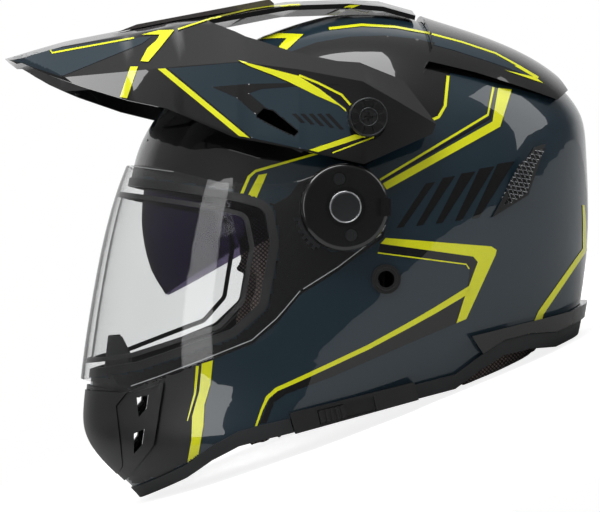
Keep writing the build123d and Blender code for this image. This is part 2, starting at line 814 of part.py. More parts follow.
with BuildPart() as pivot_cover:
    add(rod(pivot, cover_start, cover_end, pivot_radius))
    fillet(pivot_cover.faces().sort_by(Axis.Y)[0].edges(), pivot_cover_thickness / 2)
    cover_seat = cover_end - pivot_ring_depth
    add(rod(pivot, cover_seat, span, pivot_ring_radius), mode=Mode.SUBTRACT)
    add(rod(pivot, cover_seat, cover_end - pivot_cap_stand, pivot_ring_radius - pivot_cap_stand))
    for spot in screws:
        add(rod(spot, cover_seat, span, screw_head_radius), mode=Mode.SUBTRACT)
    with BuildSketch(side_at(latch_place, cover_end - latch_thickness)):
        with Locations((latch_length / 2, 0)):
            Rectangle(latch_length + 2 * latch_travel + body_gap, latch_width + 2 * body_gap)
    extrude(amount=span, mode=Mode.SUBTRACT)
write_pair(pivot_cover, "pivot_cover")

with BuildPart() as pivot_cap:
    add(rod(pivot, cover_end - pivot_cap_stand, cover_end + pivot_cap_stand / 2, pivot_cap_radius))
    fillet(pivot_cap.faces().sort_by(Axis.Y)[0].edges(), pivot_cap_stand / 2)
write_pair(pivot_cap, "pivot_cap")

with BuildPart() as left_screws:
    for spot in screws:
        add(rod(spot, cover_seat, cover_end - pivot_cap_stand / 2, screw_head_radius - fit_gap))
        with BuildSketch(side_at(spot, cover_end)):
            Rectangle(screw_head_radius, screw_slot)
            Rectangle(screw_slot, screw_head_radius)
        extrude(amount=-pivot_cap_stand, mode=Mode.SUBTRACT)
write_pair(left_screws, "pivot_screws")

with BuildPart() as shield_latch:
    with BuildSketch(side_at(latch_place, cover_end - latch_thickness)):
        with Locations((latch_length / 2 + latch_travel / 2, 0)):
            Rectangle(latch_length, latch_width)
    extrude(amount=latch_thickness)
    with BuildSketch(side_at(latch_place, cover_end)):
        with Locations((latch_length / 2 + latch_travel / 2, 0)):
            with GridLocations(latch_travel, 0, 3, 1):
                Rectangle(latch_travel / 2, latch_width)
    extrude(amount=-latch_travel / 4, mode=Mode.SUBTRACT)
write_pair(shield_latch, "shield_latch")

# Clear shield, its lift tab, the fog-free inner lens and the seal between them
with BuildPart() as shield:
    add(skin(0, shield_wall, shield_form))
    add(prism(shield_edge_shares), mode=Mode.INTERSECT)
    add(both_sides(rod(pivot, half_width / 2, span, boss_radius + running_gap)), mode=Mode.SUBTRACT)
    with BuildPart(mode=Mode.PRIVATE) as lift_tab:
        add(skin(-tab_stand, 0, shield_form))
        add(prism(tab_shares, 0, 0, False), mode=Mode.INTERSECT)
    add(lift_tab.part)
write(shield, "shield")

lens_block = prism(inner_lens_shares, 0, lens_round)
lens_depth = shield_wall + lens_gap
with BuildPart() as inner_lens:
    add(skin(lens_depth, lens_depth + lens_wall, shield_form))
    add(lens_block, mode=Mode.INTERSECT)
write(inner_lens, "inner_lens")

with BuildPart() as lens_seal:
    add(skin(shield_wall + fit_gap, lens_depth - fit_gap, shield_form))
    add(lens_block, mode=Mode.INTERSECT)
    add(prism(inner_lens_shares, -lens_seal_width, lens_round), mode=Mode.SUBTRACT)
write(lens_seal, "lens_seal")

# Toothed detent arc that holds the shield open, on the shield's outer face
detent_radius = pivot_radius + 2 * body_gap
detent_step = (detent_end_angle - detent_start_angle) / detent_teeth
detent_points = []
for tooth in range(detent_teeth):
    angle = detent_start_angle + tooth * detent_step
    detent_points.append(turned((0, 0), detent_radius + detent_width, angle))
    detent_points.append(turned((0, 0), detent_radius + detent_width, angle + detent_step / 2))
    detent_points.append(turned((0, 0), detent_radius + detent_width / 2, angle + detent_step / 2))
    detent_points.append(turned((0, 0), detent_radius + detent_width / 2, angle + detent_step))
with BuildPart() as shield_detent:
    with BuildSketch(side_at(pivot, shield_reach)):
        with BuildLine():
            CenterArc((0, 0), detent_radius, detent_start_angle, detent_end_angle - detent_start_angle)
            Polyline(
                turned((0, 0), detent_radius, detent_start_angle),
                *detent_points,
                turned((0, 0), detent_radius, detent_end_angle),
            )
        make_face()
    extrude(amount=detent_stand)
write_pair(shield_detent, "shield_detent")

# Tinted sun visor with its hinge pins
with BuildPart() as sun_visor:
    add(lune(sun_radius, sun_half_width, sun_wall, -sun_down_angle, sun_up_angle))
    with BuildSketch(across(0)):
        with BuildLine():
            Polyline(*outline(sun_notch_shares), close=True)
        make_face()
    extrude(amount=-span, mode=Mode.SUBTRACT)
    add(both_sides(rod(sun_pivot, sun_half_width - sun_wall, sun_half_width, sun_hub_radius)))
    add(both_sides(rod(sun_pivot, sun_half_width - sun_wall, sun_pin_end, sun_pin_radius)))
write(sun_visor, "sun_visor")

# Sun visor slider on the shell's lower left edge
track_start = outline(slider_track_shares)[0]
track_end = outline(slider_track_shares)[1]
track_vector = Vector(track_end[0] - track_start[0], track_end[1] - track_start[1]).normalized()
track_face = half_width + slider_track_face
slot_place = place(slider_slot_share)


def slider_plane(reach):
    """Side plane at the slider's rest place, turned along its track."""
    plane = side_at(slot_place, reach)
    along = back_dir * track_vector.X + up_dir * track_vector.Y
    return Plane(plane.origin, x_dir=along, z_dir=plane.z_dir)


with BuildPart() as slider_track:
    with BuildSketch(side(0)):
        with BuildLine():
            Polyline(*outline(slider_track_shares), close=True)
        make_face()
    extrude(amount=track_face)
    add(shell_form(-seat_gap), mode=Mode.SUBTRACT)
    with BuildSketch(slider_plane(track_face)):
        with Locations((slider_travel / 2, 0)):
            Rectangle(slider_length + slider_travel + 2 * body_gap, slider_height + 2 * body_gap)
    extrude(amount=-slider_depth - body_gap, mode=Mode.SUBTRACT)
write(slider_track, "slider_track")

with BuildPart() as visor_slider:
    with BuildSketch(slider_plane(track_face - slider_depth)):
        Rectangle(slider_length, slider_height)
    extrude(amount=slider_depth + slider_stand)
    with BuildSketch(slider_plane(track_face + slider_stand)):
        with GridLocations(slider_length / slider_ribs, 0, slider_ribs - 1, 1):
            Rectangle(slider_length / slider_ribs / 2, slider_height)
    extrude(amount=-slider_stand / 2, mode=Mode.SUBTRACT)
write(visor_slider, "visor_slider")


def peak_section(row, depth):
    """Arch of the peak, its outer face sunk by depth, closed along the bottom."""
    back, top, mid_y, mid_z, crease_y, crease_z, edge_y, edge_z = row
    right = [
        (half_width * mid_y - depth * mid_lean_share, head_length * mid_z - depth),
        (
            half_width * crease_y - depth * crease_lean_share,
            head_length * crease_z - depth * crease_lean_share,
        ),
        (half_width * edge_y - depth, head_length * edge_z),
        (half_width * edge_y - depth, head_length * edge_z - peak_skirt),
    ]
    left = [(-y, z) for y, z in reversed(right)]
    return [(0, head_length * top - depth)] + right + left


def peak_form(depth):
    """The filled arch of the peak, its outer face sunk by depth."""
    with BuildPart() as arch:
        for row in peak_shares:
            with BuildSketch(across(head_length * row[0])):
                with BuildLine():
                    Polyline(*peak_section(row, depth), close=True)
                make_face()
        loft(ruled=True)
    return arch.part


def plan_block(shares):
    """A plan-view outline of shares of head length and half-width, both sides, pushed through."""
    with BuildPart() as block:
        with BuildSketch(level(0)):
            with BuildLine():
                Polyline(*[(head_length * x, half_width * y) for x, y in shares], close=True)
            make_face()
            mirror(about=Plane.XZ)
        extrude(amount=head_length, both=True)
    return block.part


# Peak: one moulding with a centre spine, two side wings and two air windows
peak_outer = peak_form(0)
with BuildPart() as peak:
    add(peak_outer)
    add(peak_form(peak_wall), mode=Mode.SUBTRACT)
    add(rod(knob, peak_boss_start, peak_boss_end, knob_radius + fit_gap))
    mirror(rod(knob, peak_boss_start, peak_boss_end, knob_radius + fit_gap), about=Plane.XZ)
    add(prism(peak_side_shares), mode=Mode.INTERSECT)
    add(plan_block(peak_plan_shares), mode=Mode.INTERSECT)
    add(plan_block(peak_window_shares), mode=Mode.SUBTRACT)
    add(prism(peak_scoop_shares), mode=Mode.SUBTRACT)
    add(both_sides(rod(knob, 0, span, peak_pin_radius + running_gap)), mode=Mode.SUBTRACT)
write(peak, "peak")

with BuildPart() as peak_fin:
    with BuildSketch(side(0)):
        with BuildLine():
            Polyline(*outline(fin_shares), close=True)
        make_face()
    extrude(amount=peak_fin_width / 2, both=True)
    add(peak_form(-seat_gap), mode=Mode.SUBTRACT)
write(peak_fin, "peak_fin")

# Peak knobs with ribs, a coin slot and a shank, and the stand-offs they screw into
with BuildPart() as peak_knob:
    add(rod(knob, peak_boss_end + body_gap, peak_boss_end + body_gap + knob_height, knob_radius))
    fillet(peak_knob.faces().sort_by(Axis.Y)[0].edges(), knob_height / 4)
    with BuildSketch(side_at(knob, peak_boss_end + body_gap + knob_height)):
        with PolarLocations((knob_radius + knob_hub_radius) / 2, knob_ribs):
            Rectangle((knob_radius - knob_hub_radius) * knob_rib_share, knob_slot_width)
        Rectangle(knob_hub_radius, knob_slot_width)
        Rectangle(knob_slot_width, knob_hub_radius)
    extrude(amount=-knob_height / 4, mode=Mode.SUBTRACT)
    add(rod(knob, half_width - knob_shank, peak_boss_end + body_gap, peak_pin_radius))
write_pair(peak_knob, "peak_knob")

with BuildPart() as peak_mount:
    add(rod(knob, head_width / 2, peak_boss_start - body_gap, peak_mount_radius, peak_pin_radius + fit_gap))
    add(shell_form(-seat_gap), mode=Mode.SUBTRACT)
write_pair(peak_mount, "peak_mount")


def strap_ring(share, reach_share, height):
    """A D-ring hanging by its straight bar from a strap's loop."""
    middle = place(share)
    reach = half_width * reach_share
    inner = strap_loop_length / 2 + ring_gap
    outer = inner + ring_wire
    plane = side_at(middle, reach - ring_wire / 2)
    with BuildPart() as ring:
        with BuildSketch(plane):
            for width, drop, mode in ((outer, height, Mode.ADD), (inner, height - ring_wire, Mode.SUBTRACT)):
                with BuildLine():
                    Line((-width, 0), (width, 0))
                    ThreePointArc((width, 0), (0, -drop), (-width, 0))
                make_face(mode=mode)
        extrude(amount=ring_wire)
        bar_start = plane.origin + Vector(0, -ring_wire / 2, 0) - back_dir * outer
        with BuildSketch(Plane(bar_start, z_dir=back_dir)):
            Circle(ring_wire / 2)
        extrude(amount=2 * outer)
    return ring


# Chin straps inside the shell, and the two rings of their buckle
with BuildPart() as strap:
    add(skin(liner_thickness, liner_thickness - strap_thickness, head_form))
    add(prism(strap_shares, 0, 0, False), mode=Mode.INTERSECT)
ring_places = ((ring_low_share, ring_low_reach_share), (ring_high_share, ring_high_reach_share))
with BuildPart() as strap_left:
    add(strap.part)
    for share, reach_share in ring_places:
        centre = side_at(place(share), half_width * reach_share).origin
        with BuildSketch(Plane(centre - back_dir * (strap_loop_length / 2), z_dir=back_dir)):
            Circle(strap_loop_radius)
        extrude(amount=strap_loop_length)
    for share, reach_share in ring_places:
        centre = side_at(place(share), half_width * reach_share).origin
        with BuildSketch(Plane(centre - back_dir * strap_loop_length, z_dir=back_dir)):
            Circle(ring_wire / 2 + ring_gap / 2)
        extrude(amount=2 * strap_loop_length, mode=Mode.SUBTRACT)
write(strap_left, "strap_left")
with BuildPart() as strap_right:
    mirror(strap.part, about=Plane.XZ)
write(strap_right, "strap_right")

d_ring_lower = strap_ring(ring_low_share, ring_low_reach_share, ring_height)
write(d_ring_lower, "d_ring_lower")
d_ring_upper = strap_ring(ring_high_share, ring_high_reach_share, ring_short_height)
write(d_ring_upper, "d_ring_upper")

rivet_seat = liner_thickness - strap_thickness - fit_gap
with BuildPart() as strap_rivet:
    add(skin(rivet_seat, rivet_seat - rivet_stand, head_form))
    add(rod(place(strap_rivet_share), 0, span, rivet_radius), mode=Mode.INTERSECT)
write_pair(strap_rivet, "strap_rivet")
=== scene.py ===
import math
import bmesh
import bpy
from mathutils import Matrix, Vector
from mathutils.bvhtree import BVHTree
from mathutils.geometry import tessellate_polygon


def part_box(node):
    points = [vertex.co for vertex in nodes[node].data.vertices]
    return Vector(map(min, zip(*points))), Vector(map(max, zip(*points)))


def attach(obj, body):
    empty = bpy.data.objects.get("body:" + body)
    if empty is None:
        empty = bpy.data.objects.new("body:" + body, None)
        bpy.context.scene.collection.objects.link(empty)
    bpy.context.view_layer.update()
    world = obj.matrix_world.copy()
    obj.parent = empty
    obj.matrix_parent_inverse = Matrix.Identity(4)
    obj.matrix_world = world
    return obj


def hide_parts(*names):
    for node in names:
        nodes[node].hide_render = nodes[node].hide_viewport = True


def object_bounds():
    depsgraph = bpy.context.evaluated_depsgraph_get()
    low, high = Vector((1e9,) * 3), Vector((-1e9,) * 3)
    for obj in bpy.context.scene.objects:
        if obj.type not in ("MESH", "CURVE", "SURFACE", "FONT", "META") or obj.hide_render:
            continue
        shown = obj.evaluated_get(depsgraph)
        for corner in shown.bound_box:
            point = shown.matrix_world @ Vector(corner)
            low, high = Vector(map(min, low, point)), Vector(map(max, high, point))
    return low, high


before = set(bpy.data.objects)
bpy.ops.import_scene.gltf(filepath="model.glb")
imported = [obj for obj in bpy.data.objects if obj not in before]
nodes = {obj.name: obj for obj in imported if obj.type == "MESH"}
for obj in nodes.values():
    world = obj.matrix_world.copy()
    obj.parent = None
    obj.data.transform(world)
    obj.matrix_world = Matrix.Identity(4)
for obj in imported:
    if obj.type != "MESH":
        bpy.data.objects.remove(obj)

cad_low, cad_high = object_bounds()
scene = bpy.context.scene

# Values that several parts share, in metres unless the name says otherwise.
# Outlines are in pixels of the photograph, which is 600 wide and 512 high.
photo_width_px = 600
photo_middle_px = (300, 256)
pixels_per_metre = 1463
view_distance = 2.3
focal_px = pixels_per_metre * view_distance
sensor_mm = 36
weld_distance = 0.00002
crease_angle = math.radians(24)
field_lift = 0.00018
slash_lift = 0.0003
stripe_lift = 0.00034
peak_stripe_lift = 0.00042
edge_lift = 0.0001
box_margin = 0.0001
knob_relief = 0.0009
sides = (("left", -1), ("right", 1))

# Camera, placed where the photograph was taken from
tilt = math.radians(20.8)
swing = math.radians(4.5)
middle = Vector((-0.016, 0, 0.1172))
back = Vector((math.cos(tilt), 0, -math.sin(tilt)))
above = Vector((math.sin(tilt), 0, math.cos(tilt)))
near = Vector((0, -1, 0))
right = back * math.cos(swing) + near * math.sin(swing)
behind = near * math.cos(swing) - back * math.sin(swing)
eye = middle + behind * view_distance
camera_data = bpy.data.cameras.new("camera")
camera_data.sensor_width = sensor_mm
camera_data.lens = sensor_mm * focal_px / photo_width_px
camera_data.clip_end = 50
camera = bpy.data.objects.new("camera", camera_data)
camera.matrix_world = Matrix((
    (right.x, above.x, behind.x, eye.x),
    (right.y, above.y, behind.y, eye.y),
    (right.z, above.z, behind.z, eye.z),
    (0, 0, 0, 1)))
scene.collection.objects.link(camera)
scene.camera = camera


# Materials
def new_material(name):
    made = bpy.data.materials.new(name)
    made.use_nodes = True
    return made, made.node_tree.nodes, made.node_tree.links, made.node_tree.nodes["Principled BSDF"]


def combine(tree_nodes, links, operation, *sources):
    """A math node whose inputs are numbers or the outputs of other nodes."""
    made = tree_nodes.new("ShaderNodeMath")
    made.operation = operation
    for place, source in zip(made.inputs, sources):
        if isinstance(source, (int, float)):
            place.default_value = source
        else:
            links.new(source, place)
    return made.outputs["Value"]


def noise(tree_nodes, links, scale, detail):
    place = tree_nodes.new("ShaderNodeTexCoord")
    grain = tree_nodes.new("ShaderNodeTexNoise")
    grain.inputs["Scale"].default_value = scale
    grain.inputs["Detail"].default_value = detail
    links.new(place.outputs["Object"], grain.inputs["Vector"])
    return grain


def ramp(tree_nodes, links, source, dark, light, low=0.3, high=0.7):
    made = tree_nodes.new("ShaderNodeValToRGB")
    made.color_ramp.elements[0].position = low
    made.color_ramp.elements[0].color = (*dark, 1)
    made.color_ramp.elements[1].position = high
    made.color_ramp.elements[1].color = (*light, 1)
    links.new(source, made.inputs["Fac"])
    return made


def bump(tree_nodes, links, source, shader, strength, distance):
    made = tree_nodes.new("ShaderNodeBump")
    made.inputs["Strength"].default_value = strength
    made.inputs["Distance"].default_value = distance
    links.new(source, made.inputs["Height"])
    links.new(made.outputs["Normal"], shader.inputs["Normal"])


def vary_roughness(tree_nodes, links, source, shader, low, high):
    made = tree_nodes.new("ShaderNodeMapRange")
    made.inputs["To Min"].default_value = low
    made.inputs["To Max"].default_value = high
    links.new(source, made.inputs["Value"])
    links.new(made.outputs["Result"], shader.inputs["Roughness"])


def paint(name, colour, rough=0.3):
    """Gloss paint under a clear coat."""
    made, n, l, shader = new_material(name)
    grain = noise(n, l, 2400, 2)
    tone = ramp(n, l, grain.outputs["Fac"], [c * 0.93 for c in colour], [c * 1.05 for c in colour])
    l.new(tone.outputs["Color"], shader.inputs["Base Color"])
    shader.inputs["Coat Weight"].default_value = 1
    shader.inputs["Coat Roughness"].default_value = 0.02
    shader.inputs["Coat IOR"].default_value = 1.62
    shader.inputs["Specular IOR Level"].default_value = 0.1
    dust = noise(n, l, 40, 4)
    vary_roughness(n, l, dust.outputs["Fac"], shader, rough * 0.85, rough * 1.2)
    return made


def plastic(name, colour, rough, grain_scale, strength, coat=0.0):
    """Moulded plastic or rubber with a fine grain and slight wear."""
    made, n, l, shader = new_material(name)
    grain = noise(n, l, grain_scale, 4)
    wear = noise(n, l, 30, 5)
    tone = ramp(n, l, wear.outputs["Fac"], [c * 0.85 for c in colour], [c * 1.2 for c in colour])
    l.new(tone.outputs["Color"], shader.inputs["Base Color"])
    shader.inputs["Coat Weight"].default_value = coat
    shader.inputs["Coat Roughness"].default_value = 0.05
    vary_roughness(n, l, wear.outputs["Fac"], shader, rough * 0.85, rough * 1.15)
    bump(n, l, grain.outputs["Fac"], shader, strength, 0.0002)
    return made


def metal(name, colour, rough):
    """Brushed or plated metal."""
    made, n, l, shader = new_material(name)
    grain = noise(n, l, 2600, 5)
    tone = ramp(n, l, grain.outputs["Fac"], [c * 0.88 for c in colour], colour)
    l.new(tone.outputs["Color"], shader.inputs["Base Color"])
    shader.inputs["Metallic"].default_value = 1
    vary_roughness(n, l, grain.outputs["Fac"], shader, rough * 0.7, rough * 1.4)
    return made


def clear(name, colour, ior, passed, coat):
    """Clear plastic that lets this share of the light go straight on to what lies behind it."""
    made, n, l, shader = new_material(name)
    shader.inputs["Coat Weight"].default_value = coat
    shader.inputs["Coat Roughness"].default_value = 0.01
    haze = noise(n, l, 8, 3)
    tone = ramp(n, l, haze.outputs["Fac"], [c * 0.96 for c in colour], colour)
    l.new(tone.outputs["Color"], shader.inputs["Base Color"])
    shader.inputs["Transmission Weight"].default_value = 1
    shader.inputs["Roughness"].default_value = 0
    shader.inputs["IOR"].default_value = ior
    path = n.new("ShaderNodeLightPath")
    lighting = combine(n, l, "MAXIMUM", path.outputs["Is Shadow Ray"], path.outputs["Is Diffuse Ray"])
    l.new(combine(n, l, "MULTIPLY_ADD", lighting, -passed, 1.0), shader.inputs["Alpha"])
    return made


def knit(name, dark, light, cell, turn):
    """Air-mesh cloth: rows of slanted stitches with dark gaps between."""
    made, n, l, shader = new_material(name)
    place = n.new("ShaderNodeTexCoord")
    aim = n.new("ShaderNodeMapping")
    aim.inputs["Rotation"].default_value = (0.0, turn, 0.0)
    l.new(place.outputs["Object"], aim.inputs["Vector"])
    rows = []
    for direction, lean in (("X", 0.0), ("Z", 2.6)):
        wave = n.new("ShaderNodeTexWave")
        wave.bands_direction = direction
        wave.wave_profile = "SIN"
        wave.inputs["Scale"].default_value = 0.5 / cell
        wave.inputs["Distortion"].default_value = lean
        wave.inputs["Detail"].default_value = 1.0
        wave.inputs["Detail Scale"].default_value = 40.0
        l.new(aim.outputs["Vector"], wave.inputs["Vector"])
        rows.append(wave.outputs["Fac"])
    stitches = combine(n, l, "MULTIPLY", *rows)
    tone = ramp(n, l, stitches, dark, light, 0.08, 0.62)
    l.new(tone.outputs["Color"], shader.inputs["Base Color"])
    shader.inputs["Roughness"].default_value = 0.9
    shader.inputs["Sheen Weight"].default_value = 0.25
    shader.inputs["Sheen Roughness"].default_value = 0.5
    bump(n, l, stitches, shader, 0.7, 0.0008)
    return made


def beads(name, colour):
    """Moulded foam with its beads showing."""
    made, n, l, shader = new_material(name)
    place = n.new("ShaderNodeTexCoord")
    cells = n.new("ShaderNodeTexVoronoi")
    cells.inputs["Scale"].default_value = 260
    l.new(place.outputs["Object"], cells.inputs["Vector"])
    tone = ramp(n, l, cells.outputs["Distance"], [c * 1.3 for c in colour], [c * 0.6 for c in colour],
                0.1, 0.8)
    l.new(tone.outputs["Color"], shader.inputs["Base Color"])
    shader.inputs["Roughness"].default_value = 0.8
    bump(n, l, cells.outputs["Distance"], shader, 0.5, 0.0006)
    return made


looks = {
    "gloss_black": paint("gloss_black", (0.0035, 0.0035, 0.004)),
    "slate": paint("slate_paint", (0.0125, 0.0285, 0.0415)),
    "yellow": paint("yellow_paint", (0.86, 0.875, 0.012), rough=0.4),
    "satin": plastic("satin_charcoal", (0.016, 0.016, 0.0165), 0.42, 1600, 0.15),
    "rubber": plastic("charcoal_rubber", (0.012, 0.0135, 0.015), 0.5, 2200, 0.3),
    "black_rubber": plastic("black_rubber", (0.006, 0.006, 0.007), 0.45, 2200, 0.3),
    "black_plastic": plastic("black_plastic", (0.007, 0.007, 0.0075), 0.33, 1800, 0.12),
    "pod": plastic("pod_plastic", (0.004, 0.004, 0.0045), 0.2, 900, 0.03, 0.8),
    "fin": plastic("fin_grey", (0.055, 0.047, 0.047), 0.55, 1500, 0.25),
    "gun_metal": metal("gun_metal", (0.085, 0.088, 0.092), 0.34),
    # The edge material is a pale grey strip that stands in for the glint along the clear shield's edges: a
    # painted highlight.
    "edge": plastic("painted_edge_highlight", (0.42, 0.43, 0.44), 0.12, 900, 0.02, 1.0),
    "steel": metal("brushed_steel", (0.62, 0.63, 0.65), 0.28),
    "chrome": metal("bright_mesh", (0.75, 0.76, 0.78), 0.18),
    "shield": clear("clear_shield", (0.93, 0.935, 0.935), 1.05, 0.94, 0.6),
    "inner": clear("inner_lens_clear", (0.95, 0.955, 0.955), 1.03, 0.96, 0.0),
    "smoke": clear("smoke_visor", (0.11, 0.09, 0.16), 1.03, 0.5, 0.4),
    "seal": plastic("lens_seal", (0.006, 0.006, 0.007), 0.5, 1800, 0.2),
    "foam": beads("foam_beads", (0.02, 0.02, 0.021)),
    "air_mesh": knit("air_mesh", (0.03, 0.018, 0.016), (0.40, 0.31, 0.27), 0.0032, 0.5),
    "liner": knit("liner_cloth", (0.02, 0.019, 0.02), (0.12, 0.105, 0.10), 0.0022, 0.2),
    "web": knit("webbing", (0.006, 0.006, 0.007), (0.035, 0.035, 0.037), 0.0011, 0.0),
}
# The look of each node, by the start of its name; the first that fits is taken.
finish = [
    ("shell", "slate"), ("edge_trim", "rubber"), ("eyeport_gasket", "black_rubber"), ("eps_liner", "foam"),
    ("crown_liner", "liner"), ("neck_roll", "air_mesh"), ("breath_guard", "black_rubber"),
    ("chin_centre_plate", "satin"), ("chin_plate", "satin"), ("chin_vent_frame", "black_plastic"),
    ("chin_vent_shutter", "black_plastic"), ("crown_fairing", "gloss_black"), ("rear_lip", "gloss_black"),
    ("shield_latch", "pod"), ("shield_detent", "gun_metal"), ("shield", "shield"), ("inner_lens", "inner"),
    ("lens_seal", "seal"), ("sun_visor", "smoke"), ("slider_track", "black_plastic"),
    ("visor_slider", "black_plastic"), ("peak_fin", "fin"), ("peak_knob", "satin"),
    ("peak_mount", "black_plastic"), ("peak", "gloss_black"), ("strap_rivet", "steel"), ("strap", "web"),
    ("d_ring", "steel"), ("cheek_pad", "air_mesh"), ("brow_vent", "gloss_black"),
    ("rear_vent_frame", "black_plastic"), ("rear_vent_mesh", "chrome"), ("port_grommet", "black_rubber"),
    ("base_plate", "black_plastic"), ("pivot_cover", "pod"), ("pivot_cap", "gun_metal"),
    ("pivot_screws", "gun_metal"),
]
for name, thing in nodes.items():
    look = next(v for k, v in finish if name.startswith(k))
    for place in thing.material_slots:
        place.material = looks[look]
    if not thing.material_slots:
        thing.data.materials.append(looks[look])
    thing.data.shade_smooth()
    weld = thing.modifiers.new("weld", "WELD")
    weld.merge_threshold = weld_distance
    crease = thing.modifiers.new("edges", "EDGE_SPLIT")
    crease.split_angle = crease_angle
    crease.use_edge_sharp = False


# Painted fields and stripes, laid on the surface where the photograph shows them and mirrored
def new_mesh(name, made):
    """Turns a bmesh into a mesh and frees it."""
    data = bpy.data.meshes.new(name)
    made.to_mesh(data)
    made.free()
    return data


def new_piece(name, data, look):
    """An object with this mesh and one material."""
    data.materials.clear()
    data.materials.append(looks[look])
    thing = bpy.data.objects.new(name, data)
    scene.collection.objects.link(thing)
    return thing


def surface_of(name):
    """The node's smooth-shaded triangles, with the normals at their corners."""
    bpy.context.view_layer.update()
    data = nodes[name].evaluated_get(bpy.context.evaluated_depsgraph_get()).to_mesh()
    data.calc_loop_triangles()
    corners = [v.co.copy() for v in data.vertices]
    normals = [c.vector.copy() for c in data.corner_normals]
    faces = [tuple(t.vertices) for t in data.loop_triangles]
    facings = [[normals[i] for i in t.loops] for t in data.loop_triangles]
    return BVHTree.FromPolygons(corners, faces), corners, faces, facings


def ray_through(px, py):
    """The way from the camera through a pixel of the photograph."""
    across = right * ((px - photo_middle_px[0]) / focal_px)
    return across + above * ((photo_middle_px[1] - py) / focal_px) - behind


def onto(surface, px, py, lift):
    """The spot on the surface behind a pixel, raised by the lift, and the way the surface faces there."""
    tree, corners, faces, facings = surface
    aim = ray_through(px, py).normalized()
    spot, _, index, _ = tree.ray_cast(eye, aim)
    if spot is None:
        return None
    a, b, c = [corners[i] for i in faces[index]]
    whole = (b - a).cross(c - a)
    size = max(whole.length_squared, 1e-20)
    one = (c - b).cross(spot - b).dot(whole) / size
    two = (a - c).cross(spot - c).dot(whole) / size
    facing = facings[index][0] * one + facings[index][1] * two + facings[index][2] * (1 - one - two)
    facing.normalize()
    if facing.dot(aim) > 0:
        facing = -facing
    spot = spot + facing * lift
    held = [min(max(spot[i], cad_low[i] + box_margin), cad_high[i] - box_margin) for i in range(3)]
    return Vector(held), facing


def ribbon(line, widths):
    """Outline of a stripe with that centre line and those widths, in pixels."""
    if not hasattr(widths, "__len__"):
        widths = [widths] * len(line)
    one, other = [], []
    for i, (x, y) in enumerate(line):
        ax, ay = line[max(i - 1, 0)]
        bx, by = line[min(i + 1, len(line) - 1)]
        long = math.hypot(bx - ax, by - ay)
        nx, ny = -(by - ay) / long, (bx - ax) / long
        one.append((x + nx * widths[i] / 2, y + ny * widths[i] / 2))
        other.append((x - nx * widths[i] / 2, y - ny * widths[i] / 2))
    return one + other[::-1]


def decal(name, tree, outlines, look, lift, body, reach=0.014, pitch=3.0):
    """Thin painted faces inside the outlines, cut into a grid of this pitch and laid on the surface.

    A face whose corners land further apart than the reach has fallen over an edge, and is left out.
    """
    made = bmesh.new()
    facings = []
    for outline in outlines:
        flat = bmesh.new()
        ends = [flat.verts.new((x, y, 0)) for x, y in outline]
        for three in tessellate_polygon([[Vector((x, y, 0)) for x, y in outline]]):
            flat.faces.new([ends[i] for i in three])
        xs = [p[0] for p in outline]
        ys = [p[1] for p in outline]
        for axis, low, high in ((0, min(xs), max(xs)), (1, min(ys), max(ys))):
            step = math.floor(low / pitch) * pitch
            while step < high:
                cut = [0.0, 0.0, 0.0]
                cut[axis] = step
                way = [0.0, 0.0, 0.0]
                way[axis] = 1.0
                bmesh.ops.bisect_plane(flat, geom=flat.verts[:] + flat.edges[:] + flat.faces[:],
                                       plane_co=cut, plane_no=way)
                step += pitch
        spots = {}
        for v in flat.verts:
            spots[v] = onto(tree, v.co.x, v.co.y, lift)
        kept = {}
        for face in flat.faces:
            if None in [spots[v] for v in face.verts]:
                continue
            places = [spots[v][0] for v in face.verts]
            if max((a - b).length for a in places for b in places) > reach:
                continue
            for side in (1, -1):
                ring = []
                for v in face.verts:
                    if (v, side) not in kept:
                        place, facing = spots[v]
                        kept[(v, side)] = made.verts.new((place.x, place.y * side, place.z))
                        facings.append((facing.x, facing.y * side, facing.z))
                    ring.append(kept[(v, side)])
                way = sum((spots[v][1] for v in face.verts), Vector())
                way.y *= side
                turned = (ring[1].co - ring[0].co).cross(ring[2].co - ring[0].co).dot(way)
                made.faces.new(ring if turned > 0 else ring[::-1])
        flat.free()
    data = new_mesh(name, made)
    data.shade_smooth()
    data.normals_split_custom_set_from_vertices(facings)
    thing = new_piece(name, data, look)
    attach(thing, body)


shell_tree = surface_of("shell")
peak_tree = surface_of("peak")
shell_black = [
    [(286, 53.6), (317, 42.4), (350, 36.8), (384, 35.7), (417, 39), (451, 48), (484, 59), (513, 69),
     (552, 98), (480, 79), (450, 73), (446, 105), (437, 120), (428, 125), (400, 118), (350, 110), (286, 66)],
    [(120, 215), (137, 163), (157, 119), (166, 110), (226, 56), (260, 68), (300, 80), (400, 118), (428, 126),
     (365, 166), (335, 160), (322.8, 153.5), (255.8, 172.5), (250, 178), (242, 196), (238, 214)],
    [(380.5, 244), (472, 257), (476.5, 263), (467.5, 287.5), (470, 270), (466, 264.5), (378, 252)],
    [(464.5, 298.3), (455.8, 323.3), (400.7, 346.9), (331.8, 376.8), (285.9, 394), (274.4, 402),
     (265.3, 425), (259.5, 423.9), (269.8, 399.7), (276.7, 391.7), (331.8, 367.6), (407.6, 328.6)],
    ribbon([(495.5, 87.8), (490.2, 118), (381.3, 182)], 2.2),
    [(120, 200), (236, 203), (256, 199.5), (275, 204), (290, 195), (300, 181), (318, 173), (345, 168),
     (375, 178), (390, 212), (383, 238), (338, 271), (300, 295), (277, 323), (252, 344), (202, 364),
     (157, 381), (129, 391), (85, 368), (95, 250)],
]
side_slash_ends = [((435, 182), (397.5, 228), 9), ((455, 176), (417, 226), 12),
                   ((475.4, 171.4), (436.5, 223.7), 14), ((494.4, 166.3), (456, 221), 15),
                   ((514.5, 161.2), (473, 218.7), 17)]
side_slash_slope, side_slash_foot, side_slash_nip = 0.16, 6, 1
